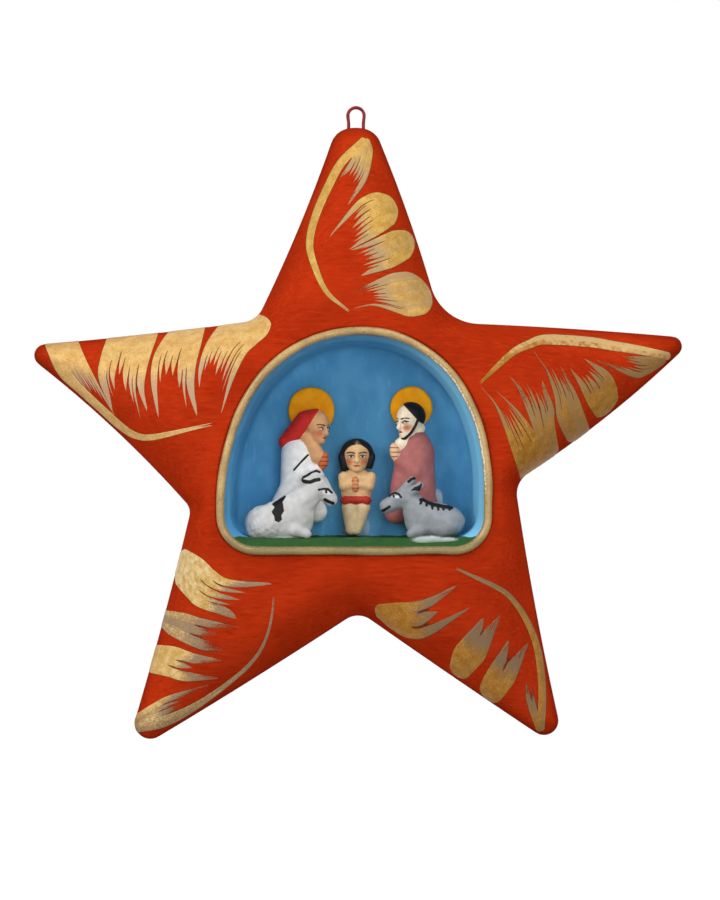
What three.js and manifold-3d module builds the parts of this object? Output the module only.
// A hand-made ceramic star ornament: a hollow star in two luted halves, with an arched niche that holds five
// small clay figures. Millimetres, +Z up, front towards -Y. The origin is the hanging point, under the crown of
// the wire eye.

import * as THREE from "three";
import { mergeVertices } from "three/addons/utils/BufferGeometryUtils.js";
import Module from "manifold-3d";

const wasm = await Module();
wasm.setup();

// Niche: half a full-shouldered ellipse over a straight-sided foot with round corners, drafted to its back.

const NICHE_HALF_WIDTH = 22.6;
const NICHE_CROWN = 28.5; // spring line to the crown
const NICHE_FOOT = 8.4; // spring line to the sill
const NICHE_SPRING_Z = -8.1; // spring line, from the middle of the star
const NICHE_SHOULDER = 2.15; // power of the crown's ellipse: 2 is plain, more is fuller
const NICHE_CORNER = 5.4;
const NICHE_OFFSET_X = -0.3;
const NICHE_LEAN = 0.9; // how far the crown leans to the right
const NICHE_DEPTH = 12;
const FLOOR_RISE = 1.5; // sill up to the level floor
const SILL_DEPTH = 2.6; // mouth back to the level floor
const LIP_DEPTH = 0.9; // mouth back to the end of the sill's rounded lip
const LIP_RISE = 1; // sill up to there
const WALL_DRAFT = 1.7; // how far a wall leans in on its way to the cove
const SILL_DRAFT = 0.8; // how far it has leaned in where the level floor starts
const LIP_DRAFT = 0.35; // and where the lip ends
const COVE_RISE = 1.7; // cove between the walls and the back: its depth along the wall
const COVE_WIDTH = 1.3; // and its width along the back
const NICHE_WALL = 3; // clay outside the niche's walls
const BACK_WALL = 3; // clay behind the niche
const RIM_WIDTH = 1.7;
const RIM_STAND = 1;

// Star. Heights run forward from the plane of the wire eye, depths run back from it.

const SLIP = 0.2; // luting slip and glue lines between touching pieces
const SEAM_DEPTH = 2; // seam between the halves
const SEAM_GAP = 1; // air between the clay behind the niche and the back half
const BACK_SLAB = 4; // back half, with the slip
const BACK_ROUND = 3; // rounding of the back's edge
const TIP_REACH = 65.1; // middle of the star to a tip, before rounding
const CHEEK = 6.4; // how much further out a notch lies than the niche's side
const TIP_HEIGHT = 5.5; // front face at the tips
const TIP_FLAT = 3.1; // stretch before a tip where the front no longer falls
const CROWN_START = 25; // the front falls from here, measured from the middle of the star
const SIDE_HEIGHT = 1; // where the straight side begins to roll over to the front
const EDGE_ROLL = 8; // how far in from the outline the front rolls over
const ROLL_SHARE = 0.92; // the roll ends this far in towards the rim where the star is narrow
const WALL = 4.5; // clay of the front half
const POCKET_START = 1; // narrowest hollow in an arm
const POCKET_FULL = 8; // hollow that is scooped out to the full
const PLATE_INSET = 0.5; // edge of the clay behind the niche, in from the niche's mouth
const VENT_RADIUS = 1.5; // firing vent in the back
const VENT_Z = -10;
const SOFTNESS = 3; // how gently the fronts of two sides blend along an arm

const LAND = RIM_WIDTH + 2 * SLIP; // flat seat for the rim
const RIM_HEIGHT = NICHE_DEPTH + BACK_WALL + SEAM_GAP - SEAM_DEPTH; // front face round the niche
const PLATE_DEPTH = SEAM_DEPTH - SEAM_GAP; // rear of the clay behind the niche
const BACK_DEPTH = SEAM_DEPTH + BACK_SLAB; // flat back
const NOTCH_REACH = NICHE_HALF_WIDTH + CHEEK; // middle of the star to a notch, before rounding
const CROWN_END = TIP_REACH - TIP_FLAT;

// How the hand-formed star departs from a regular one, clockwise from the top: a tip, then the notch after it.
// The bow is how far the side that follows swells outwards.
const CORNERS = [
  { out: 2.2, swing: -0.3, round: 5.4, bow: 0.15 },
  { out: -1.1, swing: 2.2, round: 9, bow: 0.2 },
  { out: -0.9, swing: 0.4, round: 1.8, bow: 0.8 },
  { out: -0.3, swing: 6.7, round: 4.4, bow: -0.35 },
  { out: -0.1, swing: -1.2, round: 2.6, bow: 0.1 },
  { out: -0.7, swing: 0.9, round: 3.8, bow: 0.4 },
  { out: 3.2, swing: -1.1, round: 2.9, bow: -0.25 },
  { out: 1.8, swing: 0.7, round: 2.7, bow: -0.8 },
  { out: -2.5, swing: 0.6, round: 2, bow: -0.2 },
  { out: 0.4, swing: 1, round: 6, bow: -0.55 },
];

// Wire eye

const WIRE_RADIUS = 0.3;
const EYE_RADIUS = 1.45; // to the wire's centre line
const EYE_CLEAR = 3.6; // hanging point down to the crest of the top tip
const LEG_SET = 6; // length of each leg in the clay
const LEG_SPLAY = 0.5;
const WIRE_FIT = 0.25; // clearance of the wire's hole

// Glue, halos and where the figures stand

const GLUE = 0.4;
const FIGURE_BACK = GLUE + 2 * SLIP; // a kneeling figure's back, off the wall
const HALO_THICKNESS = 1.2;
const PERSON_FROM_SIDE = 12.6; // side of the niche's mouth to the middle of a kneeling figure
const OX_FROM_SIDE = 10.4;
const DONKEY_FROM_SIDE = 10;
const ANIMAL_OFF_WALL = 7.7; // middle plane of the animals

// Figures, lump by lump, from the middle of each. A place is [across, off the wall, above the floor], and for
// the animals off their middle plane. An egg of clay has a place, half sizes [wide, deep, high] and a lean in
// degrees. A roll runs from one place to another, with a radius at each end, and may be pressed flatter in depth.

const WOMAN_ELBOW = [0.4, 3.8, 11.2];
const WOMAN = {
  head: { at: [3, 3.2, 19.4], half: [2.6, 2.1, 3], lean: 10 },
  veil: { from: [1.6, 2.8, 20.6], to: [-2.1, 2.4, 16.9], radii: [2.5, 1.4], flat: 0.8 },
  body: { from: [0, 2.6, 14.4], to: [0, 2.6, 8.8], radii: [3.1, 3.4], flat: 0.68 },
  lap: { at: [-0.4, 2.5, 5.7], half: [4.4, 2.3, 3.2] },
  heel: { from: [-2.2, 2.4, 7.4], to: [-3.7, 2.2, 4.8], radii: [1.8, 1.4] },
  knee: { from: [0.5, 2.7, 6.6], to: [3, 2.7, 4.5], radii: [2.4, 1.9], flat: 0.9 },
  upperArm: { from: [-0.2, 3.4, 14], to: WOMAN_ELBOW, radii: [1.4, 1.3], flat: 0.8 },
  forearm: { from: WOMAN_ELBOW, to: [3.6, 3.7, 13], radii: [1.3, 0.95], flat: 0.8 },
  hands: { at: [4.2, 3.7, 13.4], half: [0.9, 0.9, 1.7], lean: 12 },
};
const WOMAN_HALO = { across: 2.1, up: 22.4, radius: 4.2 };
const WOMAN_GLUE = { across: -0.6, up: 8.6, wide: 2.8, high: 4 };

const MAN_ELBOW = [0.4, 3.8, 11.6];
const MAN = {
  head: { at: [-1.3, 3.1, 20.5], half: [2.6, 2.1, 3], lean: -8 },
  hair: { at: [0.4, 2.9, 21.5], half: [2.3, 2, 2.4] },
  shoulders: { from: [0, 2.7, 17.4], to: [0.4, 2.6, 14.8], radii: [2, 3], flat: 0.7 },
  body: { from: [0.5, 2.6, 14.8], to: [0.1, 2.6, 8.8], radii: [3.3, 4], flat: 0.62 },
  lap: { at: [0, 2.5, 5.7], half: [4.4, 2.3, 3.3] },
  knee: { from: [-0.7, 2.7, 6.6], to: [-3, 2.7, 4.3], radii: [2.4, 1.9], flat: 0.9 },
  upperArm: { from: [1, 3.4, 14.6], to: MAN_ELBOW, radii: [1.4, 1.3], flat: 0.8 },
  forearm: { from: MAN_ELBOW, to: [-2.4, 3.7, 14], radii: [1.3, 0.95], flat: 0.8 },
  hands: { at: [-3.1, 3.7, 15], half: [0.9, 0.9, 1.7], lean: -10 },
};
const MAN_HALO = { across: -0.2, up: 22.9, radius: 3.8 };
const MAN_GLUE = { across: 0.5, up: 8.6, wide: 2.8, high: 4 };

const INFANT_ELBOWS = [-2.3, 2.3].map((across) => [across, 3.2, 9.2]);
const INFANT = {
  hair: { at: [0.2, 2.1, 14.6], half: [3, 1.8, 3] },
  head: { at: [0.2, 2.8, 14.5], half: [2.4, 1.9, 2.6] },
  chest: { at: [0.1, 2.5, 10.1], half: [3.2, 1.7, 2.7] },
  belly: { at: [0, 2.5, 7.5], half: [2.6, 1.6, 2.2] },
  cloth: { at: [0, 2.5, 6.7], half: [2.7, 1.9, 0.9] },
  legs: { from: [0, 2.4, 5.4], to: [-0.5, 2.2, 1.8], radii: [2.3, 1.3], flat: 0.75 },
  leftUpperArm: { from: [-2.7, 2.8, 11], to: INFANT_ELBOWS[0], radii: [0.85, 0.8] },
  rightUpperArm: { from: [2.7, 2.8, 11], to: INFANT_ELBOWS[1], radii: [0.85, 0.8] },
  leftForearm: { from: INFANT_ELBOWS[0], to: [-0.5, 3.8, 9.9], radii: [0.8, 0.65] },
  rightForearm: { from: INFANT_ELBOWS[1], to: [0.5, 3.8, 9.9], radii: [0.8, 0.65] },
};
const INFANT_GLUE = { across: 0, up: 6, wide: 1.6, high: 3.4 };

const OX = {
  rump: { at: [-2.6, 0, 2.9], half: [4.7, 2.5, 3] },
  barrel: { from: [-1.2, 0, 3.6], to: [1.6, 0, 4.4], radii: [2.6, 2.9], flat: 0.86 },
  chest: { at: [2, 0, 4.2], half: [2.9, 2.4, 4.4] },
  neck: { from: [3.3, 0, 6.9], to: [5.2, 0, 9.1], radii: [2.3, 1.9], flat: 0.9 },
  head: { from: [5.7, 0, 9.2], to: [7.8, 0, 6.8], radii: [1.9, 1.1], flat: 0.9 },
  ear: { from: [5.4, 0.6, 10.5], to: [3.3, 0.8, 10.1], radii: [0.75, 0.5] },
  haunch: { at: [-3.6, 1.4, 2.2], half: [2.6, 1.2, 1.9] },
  foreleg: { from: [2.2, 1.4, 1.6], to: [3.3, 1.4, 1.2], radii: [1.2, 1] },
};
const OX_GLUE = { wide: 3, deep: 1.2 };

const DONKEY = {
  rump: { at: [2.1, 0, 3], half: [4.4, 2.4, 2.9] },
  barrel: { from: [0.8, 0, 3.4], to: [-1.4, 0, 4], radii: [2.6, 2.7], flat: 0.86 },
  chest: { at: [-1.5, 0, 3.9], half: [2.7, 2.3, 3.9] },
  neck: { from: [-2.5, 0, 6.1], to: [-3.7, 0, 7.5], radii: [2.1, 1.8], flat: 0.9 },
  head: { from: [-4.1, 0, 7.5], to: [-7.3, 0, 5.5], radii: [1.75, 1.15], flat: 0.9 },
  farEar: { from: [-3.5, -0.7, 8.4], to: [-1.9, -0.7, 10.1], radii: [0.75, 0.4] },
  nearEar: { from: [-3.1, 0.6, 8.4], to: [-1.4, 0.6, 10.1], radii: [0.75, 0.4] },
  haunch: { at: [2.7, 1.3, 2.2], half: [2.5, 1.2, 1.9] },
  foreleg: { from: [-1.9, 1.3, 1.6], to: [-2.7, 1.3, 1.2], radii: [1.1, 0.95] },
};
const DONKEY_GLUE = { wide: 2.8, deep: 1.2 };

// Paint

const RED = 0xc8381a;
const GOLD = 0xc9a25f;
const HALO_GOLD = 0xd28a14;
const ROBE_WHITE = 0xdcdcdc;
const ROBE_PINK = 0xb9706c;
const SKIN = 0xd8a878;
const OX_WHITE = 0xe2e2e2;
const DONKEY_GREY = 0x959aa0;
const WIRE_RED = 0xa01f18;
const GLUE_PALE = 0xdfe4e2;
const PAINT_ROUGHNESS = 0.45;
const GLUE_ROUGHNESS = 0.2;

// Facets

const ARC_STEPS = 4; // even, because a side starts in the middle of an arc
const EDGE_STEPS = 5;
const CROWN_STEPS = 96;
const CORNER_STEPS = 12;
const CORNER_STRIDE = 4; // points of a niche corner to each ray through it
const FRONT_SHARES = [0.82, 0.62, 0.42, 0.24, 0.1, 0.025, 0]; // rings of the front face, from rim to edge
const POCKET_SHARES = [0.25, 0.8]; // rings of an arm's hollow, from its outer wall inwards
const ROUND_OVER = [30, 60, 90]; // degrees round the back's edge
const RIM_SIDES = 5;
const ROUND_SIDES = 11;
const BALL_RINGS = 7;
const DOME_STEPS = 3;
const WIRE_SIDES = 8;
const WIRE_STEPS = 36;
const BISECTIONS = 32;
const WELD = 1e-5;
const TINY = 1e-9;
const CUT_SIZE = 80; // block that trims a figure, larger than any of them

// Shared shaping helpers

const degrees = THREE.MathUtils.degToRad;
const mix = THREE.MathUtils.lerp;
const smooth = THREE.MathUtils.smoothstep;

// Welds a geometry's shared corners, drops triangles that have shrunk to a line and turns its faces outwards.
function weld(geometry) {
  geometry.deleteAttribute("normal");
  geometry.deleteAttribute("uv");
  const welded = mergeVertices(geometry, WELD);
  const place = welded.getAttribute("position");
  const corners = welded.getIndex().array;
  const faces = [];
  const a = new THREE.Vector3();
  const b = new THREE.Vector3();
  const c = new THREE.Vector3();
  let volume = 0;
  for (let i = 0; i < corners.length; i += 3) {
    const [p, q, r] = corners.slice(i, i + 3);
    if (p === q || q === r || r === p) continue;
    faces.push(p, q, r);
    a.fromBufferAttribute(place, p);
    b.fromBufferAttribute(place, q);
    c.fromBufferAttribute(place, r);
    volume += a.dot(b.cross(c));
  }
  welded.setIndex(volume < 0 ? faces.reverse() : faces);
  return welded;
}

function solid(geometry) {
  const welded = weld(geometry);
  return new wasm.Manifold(
    new wasm.Mesh({
      numProp: 3,
      vertProperties: new Float32Array(welded.getAttribute("position").array),
      triVerts: new Uint32Array(welded.getIndex().array),
    }),
  );
}

function fuse(geometries) {
  return geometries.map(solid).reduce((all, next) => all.add(next));
}

function geometryOf(manifold) {
  const { vertProperties, triVerts } = manifold.getMesh();
  const geometry = new THREE.BufferGeometry();
  geometry.setAttribute("position", new THREE.BufferAttribute(new Float32Array(vertProperties), 3));
  geometry.setIndex(new THREE.BufferAttribute(new Uint32Array(triVerts), 1));
  return geometry;
}

function piece(name, geometry, color, roughness) {
  geometry.computeVertexNormals();
  const mesh = new THREE.Mesh(geometry, new THREE.MeshStandardMaterial({ color, roughness, metalness: 0 }));
  mesh.name = name;
  return mesh;
}

// Star outline

function outlineCorners() {
  return CORNERS.map(({ out, swing, round, bow }, i) => {
    const angle = Math.PI / 2 - (2 * Math.PI * i) / CORNERS.length + degrees(swing);
    const reach = (i % 2 ? NOTCH_REACH : TIP_REACH) + out;
    return { at: new THREE.Vector2(Math.cos(angle), Math.sin(angle)).multiplyScalar(reach), round, bow };
  });
}

// Points of the arc that rounds one corner between its neighbours.
function cornerArc(before, { at, round }, after) {
  const toBefore = before.at.clone().sub(at).normalize();
  const toAfter = after.at.clone().sub(at).normalize();
  const half = Math.acos(toBefore.dot(toAfter)) / 2;
  const middle = toBefore.clone().add(toAfter).normalize();
  const centre = at.clone().addScaledVector(middle, round / Math.sin(half));
  const start = at.clone().addScaledVector(toBefore, round / Math.tan(half)).sub(centre);
  const end = at.clone().addScaledVector(toAfter, round / Math.tan(half)).sub(centre);
  const turn = Math.atan2(start.cross(end), start.dot(end));
  const points = [];
  for (let i = 0; i <= ARC_STEPS; i++) {
    points.push(start.clone().rotateAround(new THREE.Vector2(), (turn * i) / ARC_STEPS).add(centre));
  }
  return points;
}

// The outline as ten sides, each from the middle of one corner's arc to the middle of the next.
function outlineSides() {
  const corners = outlineCorners();
  const count = corners.length;
  const arcs = corners.map((corner, i) => {
    return cornerArc(corners[(i + count - 1) % count], corner, corners[(i + 1) % count]);
  });
  const middle = ARC_STEPS / 2;
  return arcs.map((arc, i) => {
    const next = arcs[(i + 1) % count];
    const start = arc[ARC_STEPS];
    const way = next[0].clone().sub(start);
    const outwards = new THREE.Vector2(-way.y, way.x).normalize();
    const edge = [];
    for (let k = 1; k < EDGE_STEPS; k++) {
      const share = k / EDGE_STEPS;
      const swell = corners[i].bow * 4 * share * (1 - share);
      edge.push(start.clone().addScaledVector(way, share).addScaledVector(outwards, swell));
    }
    return [...arc.slice(middle), ...edge, ...next.slice(0, middle + 1)];
  });
}

const sides = outlineSides();
const outline = sides.flatMap((side) => side.slice(0, -1));
const TIP_CREST = Math.max(...outline.map((point) => point.y));

function distanceToLine(line, x, z) {
  let best = Infinity;
  for (let i = 1; i < line.length; i++) {
    const a = line[i - 1];
    const dx = line[i].x - a.x;
    const dz = line[i].y - a.y;
    const share = ((x - a.x) * dx + (z - a.y) * dz) / (dx * dx + dz * dz);
    const along = THREE.MathUtils.clamp(share, 0, 1);
    best = Math.min(best, Math.hypot(x - a.x - along * dx, z - a.y - along * dz));
  }
  return best;
}

// Distance in from the outline, blended where two sides are about as near.
function inset(x, z) {
  const sum = sides.reduce((total, side) => total + distanceToLine(side, x, z) ** -SOFTNESS, 0);
  return sum ** (-1 / SOFTNESS);
}

// Niche outline

// The niche's section, drawn in by one amount at its walls and by another at its floor.
function nicheSection(wallInset, floorInset) {
  const halfWidth = NICHE_HALF_WIDTH - wallInset;
  const crown = NICHE_CROWN - wallInset;
  const foot = NICHE_FOOT - floorInset;
  const corner = Math.min(NICHE_CORNER, foot);
  const points = [];
  for (let i = 0; i <= CROWN_STEPS; i++) {
    const turn = (Math.PI * i) / CROWN_STEPS;
    const across = Math.sign(Math.cos(turn)) * Math.abs(Math.cos(turn)) ** (2 / NICHE_SHOULDER);
    const up = Math.sin(turn) ** (2 / NICHE_SHOULDER);
    points.push(new THREE.Vector2(halfWidth * across + NICHE_LEAN * up, crown * up));
  }
  for (const side of [-1, 1]) {
    for (let i = 0; i <= CORNER_STEPS; i++) {
      const turn = (Math.PI / 2) * (side < 0 ? i / CORNER_STEPS : 1 - i / CORNER_STEPS);
      const across = side * (halfWidth - corner + corner * Math.cos(turn));
      points.push(new THREE.Vector2(across, corner - foot - corner * Math.sin(turn)));
    }
  }
  const middle = new THREE.Vector2(NICHE_OFFSET_X, NICHE_SPRING_Z);
  return points.map((point) => point.add(middle));
}

// Distance from the middle of the star to a closed line, along one direction.
function reachOf(line, direction) {
  let best = 0;
  for (let i = 0; i < line.length; i++) {
    const a = line[i];
    const edge = line[(i + 1) % line.length].clone().sub(a);
    const across = direction.cross(edge);
    if (Math.abs(across) < TINY) continue;
    const along = a.cross(direction) / across;
    const reach = a.cross(edge) / across;
    if (along >= -TINY && along <= 1 + TINY && reach > best) best = reach;
  }
  return best;
}

// A lathe whose profile changes as it turns. Each profile lists [radius, forward] and runs from the axis back to
// the axis, or closes on itself.
function turnedLoft(directions, profiles, closed = false) {
  const points = [];
  const faces = [];
  const length = profiles[0].length;
  profiles.forEach((profile, i) => {
    profile.forEach(([radius, forward]) => {
      points.push(directions[i].x * radius, -forward, directions[i].y * radius);
    });
  });
  const strips = closed ? length : length - 1;
  for (let i = 0; i < profiles.length; i++) {
    const here = i * length;
    const next = ((i + 1) % profiles.length) * length;
    for (let k = 0; k < strips; k++) {
      const up = (k + 1) % length;
      faces.push(here + k, next + k, next + up, here + k, next + up, here + up);
    }
  }
  const geometry = new THREE.BufferGeometry();
  geometry.setAttribute("position", new THREE.Float32BufferAttribute(points, 3));
  geometry.setIndex(faces);
  return geometry;
}

// Star halves

const mouth = nicheSection(0, 0);

// Rays from the middle of the star, one through each point of its outline and a few through its niche.
function starRays() {
  const corners = mouth.slice(CROWN_STEPS + 1).filter((_, i) => i % CORNER_STRIDE === CORNER_STRIDE / 2);
  const ways = [...outline, ...corners].map((point) => point.clone().normalize());
  ways.sort((a, b) => b.angle() - a.angle());
  return ways.map((direction) => ({ direction, reach: reachOf(outline, direction) }));
}

const rays = starRays();
const directions = rays.map((ray) => ray.direction);
const land = nicheSection(-LAND, -LAND);
const plateEdge = nicheSection(PLATE_INSET, 0);
const nicheOutside = nicheSection(-NICHE_WALL, -NICHE_WALL);

const insetAlong = (ray, radius) => inset(ray.direction.x * radius, ray.direction.y * radius);

function radiusAtInset(ray, wanted) {
  let inner = 0;
  let outer = ray.reach;
  for (let i = 0; i < BISECTIONS; i++) {
    const radius = (inner + outer) / 2;
    if (insetAlong(ray, radius) > wanted) inner = radius;
    else outer = radius;
  }
  return outer;
}

// Height of the front face: a crown that falls towards the tips, rolled over along the outline.
function frontHeight(ray, radius, roll) {
  const crown = mix(RIM_HEIGHT, TIP_HEIGHT, smooth(radius, CROWN_START, CROWN_END));
  const lean = 1 - Math.min(insetAlong(ray, radius) / roll, 1);
  return mix(SIDE_HEIGHT, crown, Math.sqrt(1 - lean * lean));
}

// The niche from its back wall to its mouth: depth from the mouth, wall inset and floor inset.
const NICHE_RINGS = [
  [NICHE_DEPTH, WALL_DRAFT + COVE_WIDTH, FLOOR_RISE],
  [NICHE_DEPTH - COVE_RISE, WALL_DRAFT, FLOOR_RISE],
  [SILL_DEPTH, SILL_DRAFT, FLOOR_RISE],
  [LIP_DEPTH, LIP_DRAFT, LIP_RISE],
  [0, 0, 0],
].map(([depth, wall, floor]) => ({ forward: RIM_HEIGHT - depth, line: nicheSection(wall, floor) }));

function frontProfile(ray) {
  const landReach = reachOf(land, ray.direction);
  const landInset = insetAlong(ray, landReach);
  const roll = Math.min(EDGE_ROLL, landInset * ROLL_SHARE);
  const niche = NICHE_RINGS.map(({ forward, line }) => [reachOf(line, ray.direction), forward]);
  const front = FRONT_SHARES.map((share) => {
    const radius = radiusAtInset(ray, landInset * share);
    return [radius, frontHeight(ray, radius, roll)];
  });
  const wallReach = radiusAtInset(ray, WALL);
  const pocketInner = Math.min(reachOf(nicheOutside, ray.direction), wallReach - POCKET_START);
  const hollow = smooth(wallReach - pocketInner, POCKET_START, POCKET_FULL);
  const pocket = POCKET_SHARES.map((share) => {
    const radius = mix(wallReach, pocketInner, share);
    return [radius, mix(-PLATE_DEPTH, frontHeight(ray, radius, roll) - WALL, hollow)];
  });
  const plate = Math.min(reachOf(plateEdge, ray.direction), pocketInner - POCKET_START / 2);
  return [
    [0, RIM_HEIGHT - NICHE_DEPTH],
    ...niche,
    [landReach, RIM_HEIGHT],
    ...front,
    [ray.reach, -SEAM_DEPTH],
    [wallReach, -SEAM_DEPTH],
    ...pocket,
    [plate, -PLATE_DEPTH],
    [0, -PLATE_DEPTH],
  ];
}

function backProfile(ray) {
  const roundOver = ROUND_OVER.map((angle) => {
    const turn = degrees(angle);
    const radius = radiusAtInset(ray, BACK_ROUND * (1 - Math.cos(turn)));
    return [radius, -BACK_DEPTH + BACK_ROUND * (1 - Math.sin(turn))];
  });
  const top = -SEAM_DEPTH - SLIP;
  return [[0, top], [ray.reach, top], [ray.reach, -BACK_DEPTH + BACK_ROUND], ...roundOver, [0, -BACK_DEPTH]];
}

function ventCutter() {
  const cutter = new THREE.CylinderGeometry(VENT_RADIUS, VENT_RADIUS, 2 * BACK_DEPTH, ROUND_SIDES);
  return solid(cutter.translate(0, BACK_DEPTH, VENT_Z));
}

// A clay coil of half-round section, laid on the flat land round the mouth.
function rimGeometry() {
  const outer = nicheSection(-RIM_WIDTH, -RIM_WIDTH);
  const profiles = directions.map((direction) => {
    const near = reachOf(mouth, direction);
    const far = reachOf(outer, direction);
    return Array.from({ length: RIM_SIDES + 1 }, (_, k) => {
      const turn = (Math.PI * k) / RIM_SIDES;
      return [mix(near, far, (1 - Math.cos(turn)) / 2), RIM_HEIGHT + SLIP + RIM_STAND * Math.sin(turn)];
    });
  });
  return turnedLoft(directions, profiles, true);
}

// Wire eye, about the hanging point

// One leg up out of the clay, over the eye and down the other leg. The ends in the clay are splayed, and
// lengthened by the fit.
class EyeCurve extends THREE.Curve {
  constructor(fit) {
    super();
    this.fit = fit;
  }

  getPoint(t, target = new THREE.Vector3()) {
    const crown = WIRE_RADIUS - EYE_RADIUS;
    const quarter = (EYE_RADIUS * Math.PI) / 2;
    const leg = EYE_CLEAR + LEG_SET + crown + this.fit;
    const side = t < 0.5 ? -1 : 1;
    const along = Math.abs(2 * t - 1) * (leg + quarter);
    if (along <= quarter) {
      const turn = along / EYE_RADIUS;
      return target.set(side * EYE_RADIUS * Math.sin(turn), 0, crown + EYE_RADIUS * Math.cos(turn));
    }
    const down = along - quarter;
    const splay = LEG_SPLAY * smooth(down, EYE_CLEAR + crown, EYE_CLEAR + crown + LEG_SET);
    return target.set(side * (EYE_RADIUS + splay), 0, crown - down);
  }
}

function wireGeometry(fit = 0) {
  const radius = WIRE_RADIUS + fit;
  const section = new THREE.Shape();
  section.absarc(0, 0, radius, 0, 2 * Math.PI);
  const curveSegments = WIRE_SIDES / 2; // a full circle takes twice as many
  const extrudePath = new EyeCurve(fit);
  return new THREE.ExtrudeGeometry(section, { steps: WIRE_STEPS, curveSegments, extrudePath });
}

// Lumps of clay

const place = ([across, off, up]) => new THREE.Vector3(across, -off, up);

// An egg of clay, leaned over in the plane of the niche's back.
function egg({ at, half, lean = 0 }) {
  const geometry = new THREE.SphereGeometry(1, ROUND_SIDES, BALL_RINGS).rotateX(Math.PI / 2);
  geometry.scale(...half).rotateY(degrees(lean));
  return geometry.translate(...place(at));
}

// A tapered roll of clay with domed ends, pressed flatter in depth.
function roll({ from, to, radii, flat = 1 }) {
  const start = place(from);
  const way = place(to).sub(start);
  const profile = radii.flatMap((radius, end) => {
    return Array.from({ length: DOME_STEPS + 1 }, (_, i) => {
      const turn = (Math.PI / 2) * (i / DOME_STEPS - (end ? 0 : 1));
      return new THREE.Vector2(radius * Math.cos(turn), end * way.length() + radius * Math.sin(turn));
    });
  });
  const geometry = new THREE.LatheGeometry(profile, ROUND_SIDES);
  const aim = new THREE.Quaternion().setFromUnitVectors(new THREE.Vector3(0, 1, 0), way.normalize());
  geometry.applyQuaternion(aim).scale(1, flat, 1);
  return geometry.translate(...start);
}

const pressed = (lumps) => fuse(Object.values(lumps).map((lump) => (lump.at ? egg(lump) : roll(lump))));

const block = () => new THREE.BoxGeometry(CUT_SIZE, CUT_SIZE, CUT_SIZE);
const inFrontOf = (off) => solid(block().translate(0, -off - CUT_SIZE / 2, 0));
const above = (level) => solid(block().translate(0, 0, level + CUT_SIZE / 2));

// A flat round of clay or glue against the wall, its back off the wall by a given amount.
function disc({ across, up, wide, high }, off, thickness) {
  const geometry = new THREE.CylinderGeometry(1, 1, thickness, 2 * ROUND_SIDES);
  return geometry.scale(wide, 1, high).translate(across, -off - thickness / 2, up);
}

function haloDisc({ across, up, radius }, fit = 0) {
  const round = { across, up, wide: radius + fit, high: radius + fit };
  return disc(round, SLIP - fit, HALO_THICKNESS + 2 * fit);
}

// A figure's lumps pressed into one, with a flat back for the wall and a seat for its halo.
function wallFigure(lumps, halo) {
  const body = pressed(lumps).intersect(inFrontOf(FIGURE_BACK));
  return geometryOf(halo ? body.subtract(solid(haloDisc(halo, SLIP))) : body);
}

const wallGlue = (pad) => disc(pad, SLIP, GLUE);

function floorGlue({ wide, deep }, fit = 0) {
  const geometry = new THREE.CylinderGeometry(1, 1, GLUE + 2 * fit, 2 * ROUND_SIDES).rotateX(Math.PI / 2);
  return geometry.scale(wide + fit, deep + fit, 1).translate(0, 0, SLIP + GLUE / 2);
}

// An animal's lumps pressed into one, with a flat base that is hollowed for its glue.
function floorFigure(lumps, glue) {
  return geometryOf(pressed(lumps).intersect(above(SLIP)).subtract(solid(floorGlue(glue, SLIP))));
}

// Assembly

const painted = (name, geometry, color) => piece(name, geometry, color, PAINT_ROUGHNESS);
const glued = (name, geometry) => piece(name, weld(geometry), GLUE_PALE, GLUE_ROUGHNESS);

function placed(across, off, pieces) {
  const group = new THREE.Group();
  group.position.copy(place([across, off, 0]));
  return group.add(...pieces);
}

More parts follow.
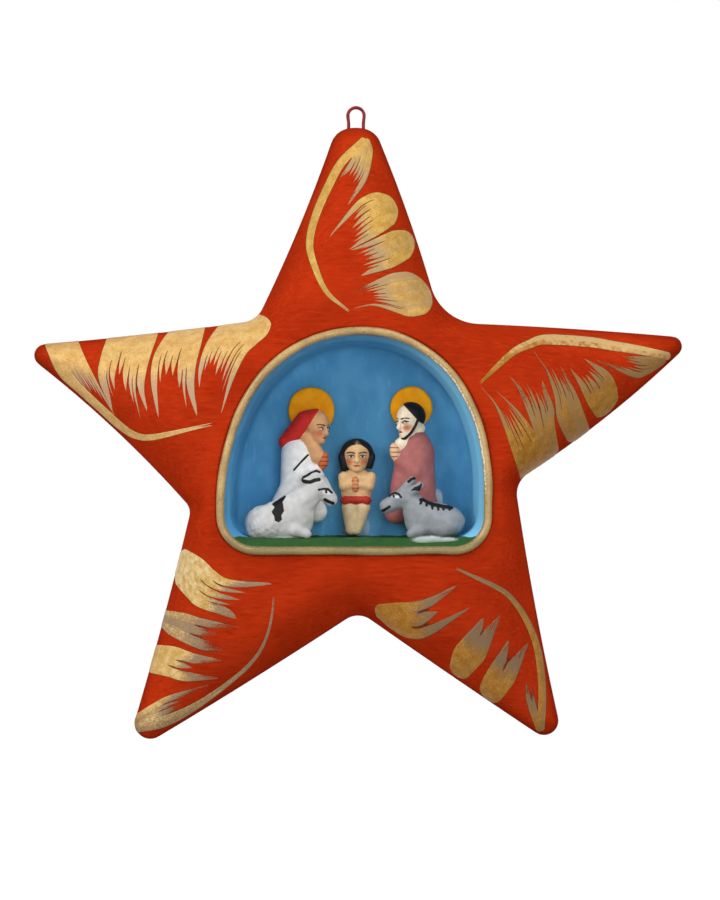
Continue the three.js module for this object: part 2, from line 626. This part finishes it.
const starFront = solid(turnedLoft(directions, rays.map(frontProfile)));
const starBack = solid(turnedLoft(directions, rays.map(backProfile))).subtract(ventCutter());
const starZ = -EYE_CLEAR - TIP_CREST;
const wireHole = solid(wireGeometry(WIRE_FIT).translate(0, 0, -starZ));

const figures = new THREE.Group();
figures.position.set(0, NICHE_DEPTH - RIM_HEIGHT, NICHE_SPRING_Z - NICHE_FOOT + FLOOR_RISE);
figures.add(
  placed(PERSON_FROM_SIDE - NICHE_HALF_WIDTH, 0, [
    painted("woman_halo", weld(haloDisc(WOMAN_HALO)), HALO_GOLD),
    painted("kneeling_woman", wallFigure(WOMAN, WOMAN_HALO), ROBE_WHITE),
    glued("woman_glue", wallGlue(WOMAN_GLUE)),
  ]),
  placed(NICHE_HALF_WIDTH - PERSON_FROM_SIDE, 0, [
    painted("man_halo", weld(haloDisc(MAN_HALO)), HALO_GOLD),
    painted("kneeling_man", wallFigure(MAN, MAN_HALO), ROBE_PINK),
    glued("man_glue", wallGlue(MAN_GLUE)),
  ]),
  placed(0, 0, [
    painted("infant", wallFigure(INFANT), SKIN),
    glued("infant_glue", wallGlue(INFANT_GLUE)),
  ]),
  placed(OX_FROM_SIDE - NICHE_HALF_WIDTH, ANIMAL_OFF_WALL, [
    painted("ox", floorFigure(OX, OX_GLUE), OX_WHITE),
    glued("ox_glue", floorGlue(OX_GLUE)),
  ]),
  placed(NICHE_HALF_WIDTH - DONKEY_FROM_SIDE, ANIMAL_OFF_WALL, [
    painted("donkey", floorFigure(DONKEY, DONKEY_GLUE), DONKEY_GREY),
    glued("donkey_glue", floorGlue(DONKEY_GLUE)),
  ]),
);

const star = new THREE.Group();
star.position.set(0, 0, starZ);
star.add(
  painted("star_front", geometryOf(starFront.subtract(wireHole)), RED),
  painted("star_back", geometryOf(starBack), RED),
  painted("niche_rim", weld(rimGeometry()), GOLD),
  figures,
);

const ornament = new THREE.Group();
ornament.add(star, painted("hanger_loop", weld(wireGeometry()), WIRE_RED));

export default ornament;
